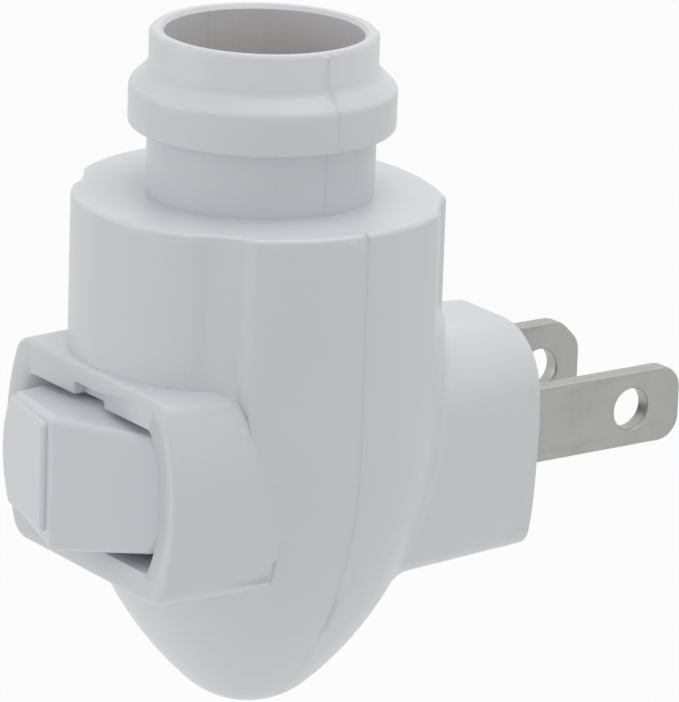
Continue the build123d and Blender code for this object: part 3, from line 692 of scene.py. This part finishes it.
# Materials, each from what the real one is and how its surface was made
def moulded_abs(name, hex_value, roughness):
    """Injection-moulded ABS: satin skin with faint orange peel, soft sinks and a parting line with
    painted shade.
    """
    material, tree = new_material(name)
    where = object_place(tree)
    # Orange peel of about 0.5 mm, drawn coarser than the real 0.1 mm so that it shows
    peel = noise(tree, where, 0.5, {"Detail": 3.0, "Roughness": 0.55})
    # Sinks over the ribs inside, waves of about 6 mm
    sinks = noise(tree, where, 6, {"Detail": 1.0, "Roughness": 0.4})
    # Flow of the plastic, waves of about 11 mm that shift tone and gloss
    flow = noise(tree, where, 11, {"Detail": 2.0, "Distortion": 1.2})
    # Parting line of the two halves: a groove 0.05 mm wide each side of the joint plane
    axes = add_node(tree, "ShaderNodeSeparateXYZ", {}, [("Vector", where)])
    from_joint = add_node(tree, "ShaderNodeMath", {"operation": "ADD", 1: AXIS_TO_WALL * MM},
                          [(0, axes.outputs["Y"])])
    distance = add_node(tree, "ShaderNodeMath", {"operation": "ABSOLUTE"},
                        [(0, from_joint.outputs[0])])
    groove = map_range(tree, distance.outputs[0], 0.0, 1.0, {
        "interpolation_type": "SMOOTHSTEP", "From Min": 0.0, "From Max": 0.05 * MM})
    wave = bump(tree, sinks.outputs["Fac"], 0.25, 0.06)
    skin = bump(tree, peel.outputs["Fac"], 0.1, 0.01, wave)
    line = bump(tree, groove.outputs["Result"], 0.2, 0.02, skin)
    base = linear_colour(hex_value)
    tint = mix_colours(tree, flow.outputs["Fac"], shaded(base, 0.97), base)
    # Painted shade darkens the groove to 0.92 of the housing's colour
    groove_painted_shade = add_node(tree, "ShaderNodeMix", {"data_type": "RGBA", 6: shaded(base, 0.92)},
                      [(0, groove.outputs["Result"]), (7, tint.outputs[2])])
    rough = map_range(tree, flow.outputs["Fac"], roughness - 0.03, roughness + 0.05)
    shader = add_node(tree, "ShaderNodeBsdfPrincipled",
                      {"IOR": 1.53, "Subsurface Weight": 0.12, "Subsurface Scale": 1.2 * MM,
                       "Subsurface Radius": (1.0, 0.9, 0.8)},
                      [("Base Color", groove_painted_shade.outputs[2]), ("Roughness", rough.outputs["Result"])])
    finish_material(tree, shader, line)
    return material


def finish_metal(tree, tone, rough, relief):
    """A metal shader from its tone, roughness and relief."""
    shader = add_node(tree, "ShaderNodeBsdfPrincipled", {"Metallic": 1.0},
                      [("Base Color", tone.outputs[2]), ("Roughness", rough.outputs["Result"])])
    finish_material(tree, shader, relief)


def plated_blade(name, hex_value):
    """Nickel-plated brass, stamped and tumbled: satin metal with draw marks along the blade."""
    material, tree = new_material(name)
    where = object_place(tree)
    # Draw marks 0.06 mm apart across the blade, drawn at 0.15 mm so that they show, and 4 mm long
    stretch = add_node(tree, "ShaderNodeMapping",
                       {"Scale": (1 / (0.15 * MM), 1 / (4 * MM), 1 / (0.15 * MM))},
                       [("Vector", where)])
    marks = add_node(tree, "ShaderNodeTexNoise", {"Scale": 1.0, "Detail": 2.0, "Roughness": 0.5},
                     [("Vector", stretch.outputs["Vector"])])
    # Dull patches from tumbling, about 2.6 mm across
    tumble = noise(tree, where, 2.6, {"Detail": 4.0, "Roughness": 0.6})
    base = linear_colour(hex_value)
    tone = mix_colours(tree, tumble.outputs["Fac"], shaded(base, 0.74), base)
    rough = map_range(tree, tumble.outputs["Fac"], 0.3, 0.46)
    finish_metal(tree, tone, rough, bump(tree, marks.outputs["Fac"], 0.18, 0.01))
    return material


def sheet_metal(name, hex_value, roughness, tarnish, grain_mm):
    """Bare or plated sheet metal with rolling grain and uneven tarnish."""
    material, tree = new_material(name)
    where = object_place(tree)
    blotch = noise(tree, where, 2.5, {"Detail": 5.0, "Roughness": 0.6})
    grain = noise(tree, where, grain_mm, {"Detail": 2.0})
    base = linear_colour(hex_value)
    tone = mix_colours(tree, blotch.outputs["Fac"], shaded(base, 1 - tarnish), base)
    rough = map_range(tree, blotch.outputs["Fac"], roughness + 0.08, roughness - 0.04)
    finish_metal(tree, tone, rough, bump(tree, grain.outputs["Fac"], 0.15, 0.008))
    return material


def moulded_thermoset(name, hex_value, roughness, speck_mm, speck_share):
    """Compression-moulded filled resin: dull skin with small specks of filler."""
    material, tree = new_material(name)
    where = object_place(tree)
    filler = add_node(tree, "ShaderNodeTexVoronoi",
                      {"Scale": 1 / (speck_mm * MM), "Randomness": 1.0}, [("Vector", where)])
    specks = map_range(tree, filler.outputs["Distance"], speck_share, 0.0,
                       {"From Min": 0.1, "From Max": 0.35})
    cloud = noise(tree, where, 1.2, {"Detail": 4.0})
    base = linear_colour(hex_value)
    pale = tuple(min(1.0, c * 1.25 + 0.02) for c in base[:3]) + (1.0,)
    tone = mix_colours(tree, specks.outputs["Result"], base, pale)
    shader = add_node(tree, "ShaderNodeBsdfPrincipled", {"IOR": 1.6, "Roughness": roughness},
                      [("Base Color", tone.outputs[2])])
    finish_material(tree, shader, bump(tree, cloud.outputs["Fac"], 0.2, 0.02))
    return material


def pale_floor(hex_value):
    """Matt painted board that mostly shows as plain white where it is seen."""
    material, tree = new_material("painted pale floor board")
    paint = noise(tree, object_place(tree), 4, {"Detail": 3.0})
    skin = bump(tree, paint.outputs["Fac"], 0.05, 0.02)
    matt = add_node(tree, "ShaderNodeBsdfPrincipled",
                    {"Base Color": linear_colour(hex_value), "Roughness": 0.8},
                    [("Normal", skin.outputs["Normal"])])
    white = add_node(tree, "ShaderNodeEmission", {"Color": (1.0, 1.0, 1.0, 1.0), "Strength": 1.0})
    share = add_node(tree, "ShaderNodeMath", {"operation": "MULTIPLY", 1: FLOOR_GLOW_SHARE},
                     [(0, seen_directly(tree).outputs[0])])
    mixed = add_node(tree, "ShaderNodeMixShader", {},
                     [(0, share.outputs[0]), (1, matt.outputs[0]), (2, white.outputs[0])])
    finish_material(tree, mixed)
    return material


class LAMPHOLDER_OT_housing(bpy.types.Operator):
    """Builds both halves of the housing with their flutes, rounded shoulder and flat-bottomed ring"""
    bl_idname = "lampholder.housing"
    bl_label = "Housing halves"

    def execute(self, context):
        finishes = context.scene.lamp_holder_finishes
        sizes = context.scene.lamp_holder_sizes
        white = moulded_abs("injection-moulded white ABS", finishes.housing_white, roughness=0.34)
        for node, side in (("front_housing", -1), ("back_housing", 1)):
            mesh = eased_half(node, side, sizes.shoulder_round, sizes.ring_top_round,
                              sizes.ring_bottom_round)
            piece_from_mesh(node + "_moulded", mesh, "housing", white, node,
                            EASED_SHARP_FROM)
        return {"FINISHED"}


class LAMPHOLDER_OT_rocker(bpy.types.Operator):
    """Gives the rocker its slightly glossier white plastic"""
    bl_idname = "lampholder.rocker"
    bl_label = "Rocker"

    def execute(self, context):
        finishes = context.scene.lamp_holder_finishes
        white = moulded_abs("injection-moulded rocker ABS", finishes.rocker_white, roughness=0.32)
        wear(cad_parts["rocker"], white)
        return {"FINISHED"}


class LAMPHOLDER_OT_blades(bpy.types.Operator):
    """Builds both stamped plug blades with rounded edges and their holes"""
    bl_idname = "lampholder.blades"
    bl_label = "Plug blades"

    def execute(self, context):
        sizes = context.scene.lamp_holder_sizes
        finishes = context.scene.lamp_holder_finishes
        nickel = plated_blade("nickel-plated stamped brass", finishes.nickel)
        for node, x, half, tip, slant, bend in BLADES:
            mesh = blade_mesh(node + "_outline", x, half, tip, slant, bend, sizes.blade_edge)
            piece_from_mesh(node + "_stamped", mesh, "housing", nickel, node)
        return {"FINISHED"}


class LAMPHOLDER_OT_screw_shell(bpy.types.Operator):
    """Builds the brass screw shell with its rolled thread"""
    bl_idname = "lampholder.screw_shell"
    bl_label = "Screw shell"

    def execute(self, context):
        sizes = context.scene.lamp_holder_sizes
        finishes = context.scene.lamp_holder_finishes
        brass = sheet_metal("rolled bright brass", finishes.shell_brass,
                            roughness=0.24, tarnish=0.28, grain_mm=0.12)
        mesh = shell_mesh(sizes.thread_pitch, sizes.thread_depth)
        piece_from_mesh("screw_shell_rolled", mesh, "housing", brass, "screw_shell")
        return {"FINISHED"}


class LAMPHOLDER_OT_socket_parts(bpy.types.Operator):
    """Finishes the insulating cup, the centre contact and all rivets of socket and blades"""
    bl_idname = "lampholder.socket_parts"
    bl_label = "Socket parts"

    def execute(self, context):
        finishes = context.scene.lamp_holder_finishes
        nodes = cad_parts
        cream = moulded_thermoset("compression-moulded cream melamine", finishes.cream,
                                  roughness=0.5, speck_mm=0.4, speck_share=0.5)
        bronze = sheet_metal("springy phosphor bronze", finishes.strip_brass,
                             roughness=0.3, tarnish=0.35, grain_mm=0.1)
        zinc = sheet_metal("zinc-plated rivet steel", finishes.zinc,
                           roughness=0.34, tarnish=0.25, grain_mm=0.2)
        wear(nodes["socket_insulator"], cream)
        wear(nodes["centre_contact"], bronze)
        for node in ("centre_rivet", "shell_rivet", "hot_blade_rivet", "neutral_blade_rivet"):
            wear(nodes[node], zinc)
        return {"FINISHED"}


class LAMPHOLDER_OT_switch_parts(bpy.types.Operator):
    """Builds the detent spring in round wire and finishes the switch's plunger, lever and contacts"""
    bl_idname = "lampholder.switch_parts"
    bl_label = "Switch parts"

    def execute(self, context):
        sizes = context.scene.lamp_holder_sizes
        finishes = context.scene.lamp_holder_finishes
        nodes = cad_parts
        steel = sheet_metal("drawn spring steel wire", finishes.steel,
                            roughness=0.28, tarnish=0.2, grain_mm=0.08)
        brass = sheet_metal("stamped brass strip", finishes.strip_brass,
                            roughness=0.33, tarnish=0.3, grain_mm=0.15)
        silver = sheet_metal("silver contact alloy", finishes.silver,
                             roughness=0.2, tarnish=0.12, grain_mm=0.1)
        acetal = moulded_thermoset("turned natural acetal", finishes.acetal,
                                   roughness=0.36, speck_mm=0.6, speck_share=0.1)
        phenolic = moulded_thermoset("compression-moulded brown phenolic", finishes.phenolic,
                                     roughness=0.42, speck_mm=0.3, speck_share=0.7)
        wear(nodes["detent_plunger"], acetal)
        wear(nodes["switch_base"], phenolic)
        for node in ("contact_lever", "pivot_terminal", "fixed_terminal"):
            wear(nodes[node], brass)
        for node in ("moving_contact", "fixed_contact"):
            wear(nodes[node], silver)
        mesh = spring_mesh(sizes.spring_wire, sizes.spring_turns)
        piece_from_mesh("detent_spring_wound", mesh, "rocker", steel,
                        "detent_spring")
        return {"FINISHED"}


class LAMPHOLDER_OT_leads(bpy.types.Operator):
    """Finishes the brass strips that join the blades, the switch and the socket"""
    bl_idname = "lampholder.leads"
    bl_label = "Lead strips"

    def execute(self, context):
        finishes = context.scene.lamp_holder_finishes
        brass = sheet_metal("half-hard brass strip", finishes.strip_brass,
                            roughness=0.3, tarnish=0.34, grain_mm=0.2)
        for node in ("centre_strip", "neutral_strip", "hot_strip"):
            wear(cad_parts[node], brass)
        return {"FINISHED"}


# The stage's own pieces
def build_floor(scene, hex_value, floor_z):
    """A large pale floor below the part."""
    material = pale_floor(hex_value)
    work = bmesh.new()
    bmesh.ops.create_grid(work, x_segments=8, y_segments=8, size=FLOOR_HALF_SIDE)
    floor = bpy.data.objects.new("floor", mesh_from_work("floor", work))
    floor.location = (0.0, 0.0, floor_z)
    scene.collection.objects.link(floor)
    wear(floor, material)


def build_room(scene):
    """An even white room, dimmer as a light than it looks."""
    world = bpy.data.worlds.new("soft studio room")
    scene.world = world
    world.use_nodes = True
    tree = world.node_tree
    tree.nodes.clear()
    level = map_range(tree, seen_directly(tree).outputs[0], ROOM_LIGHT, ROOM_SEEN)
    glow = add_node(tree, "ShaderNodeBackground", {"Color": (1.0, 1.0, 1.0, 1.0)},
                    [("Strength", level.outputs["Result"])])
    add_node(tree, "ShaderNodeOutputWorld", {}, [("Surface", glow.outputs[0])])
    scene.view_settings.view_transform = "Standard"


def build_lamps(scene):
    """Square soft lamps, each aimed at the part's middle."""
    centre = Vector((0.0, -AXIS_TO_WALL * MM, AIM_Z))
    for name, offset, side, watts in LAMPS:
        light = bpy.data.lights.new(name, "AREA")
        light.shape = "SQUARE"
        light.size = side
        light.energy = watts
        lamp = bpy.data.objects.new(name, light)
        lamp.location = centre + Vector(offset)
        lamp.rotation_euler = (-Vector(offset)).to_track_quat("-Z", "Y").to_euler()
        scene.collection.objects.link(lamp)


def build_camera(scene):
    """The photograph's camera: turned about the lamp axis, a little from above, slightly rolled."""
    around, down, roll = radians(CAMERA_AROUND), radians(CAMERA_DOWN), radians(CAMERA_ROLL)
    right = Vector((cos(around), sin(around), 0.0))
    back = Vector((sin(around) * cos(down), -cos(around) * cos(down), sin(down)))
    up = back.cross(right)
    side = right * cos(roll) + up * sin(roll)
    top = up * cos(roll) - right * sin(roll)
    spot = back * CAMERA_AWAY + side * CAMERA_SHIFT[0] + top * CAMERA_SHIFT[1]
    data = bpy.data.cameras.new("photograph camera")
    data.sensor_fit = "HORIZONTAL"
    data.sensor_width = SENSOR_MM
    data.lens = FOCAL_PIXELS * SENSOR_MM / PICTURE_WIDTH
    data.clip_end = 10.0
    camera = bpy.data.objects.new("photograph camera", data)
    turned = Matrix((side, top, back)).transposed().to_4x4()
    camera.matrix_world = Matrix.Translation(row_point(*spot)) @ turned
    scene.collection.objects.link(camera)
    scene.camera = camera


class LAMPHOLDER_OT_stage(bpy.types.Operator):
    """Sets the pale floor, the soft studio light and the photograph's camera"""
    bl_idname = "lampholder.stage"
    bl_label = "Stage and camera"

    def execute(self, context):
        scene = context.scene
        floor_z = cad_box[0][2] - scene.lamp_holder_sizes.floor_drop
        build_floor(scene, scene.lamp_holder_finishes.floor, floor_z)
        build_room(scene)
        build_lamps(scene)
        build_camera(scene)
        return {"FINISHED"}


class LAMPHOLDER_PT_panel(bpy.types.Panel):
    """Lists the lamp holder's sizes, finishes and build steps"""
    bl_idname = "LAMPHOLDER_PT_panel"
    bl_label = "Lamp holder"
    bl_space_type = "VIEW_3D"
    bl_region_type = "UI"
    bl_category = "Lamp holder"

    def draw(self, context):
        for group in (context.scene.lamp_holder_sizes, context.scene.lamp_holder_finishes):
            box = self.layout.box()
            for name in group.__annotations__:
                box.prop(group, name)
        for operator in OPERATORS:
            self.layout.operator(operator.bl_idname)


OPERATORS = (
    LAMPHOLDER_OT_housing,
    LAMPHOLDER_OT_rocker,
    LAMPHOLDER_OT_blades,
    LAMPHOLDER_OT_screw_shell,
    LAMPHOLDER_OT_socket_parts,
    LAMPHOLDER_OT_switch_parts,
    LAMPHOLDER_OT_leads,
    LAMPHOLDER_OT_stage,
)
CLASSES = (LampHolderSizes, LampHolderFinishes) + OPERATORS + (LAMPHOLDER_PT_panel,)


def register():
    for cls in CLASSES:
        bpy.utils.register_class(cls)
    bpy.types.Scene.lamp_holder_sizes = bpy.props.PointerProperty(type=LampHolderSizes)
    bpy.types.Scene.lamp_holder_finishes = bpy.props.PointerProperty(type=LampHolderFinishes)


def unregister():
    del bpy.types.Scene.lamp_holder_finishes
    del bpy.types.Scene.lamp_holder_sizes
    for cls in reversed(CLASSES):
        bpy.utils.unregister_class(cls)


def main():
    register()
    bpy.ops.lampholder.housing()
    bpy.ops.lampholder.rocker()
    bpy.ops.lampholder.blades()
    bpy.ops.lampholder.screw_shell()
    bpy.ops.lampholder.socket_parts()
    bpy.ops.lampholder.switch_parts()
    bpy.ops.lampholder.leads()
    bpy.ops.lampholder.stage()


if __name__ == "__main__":
    main()
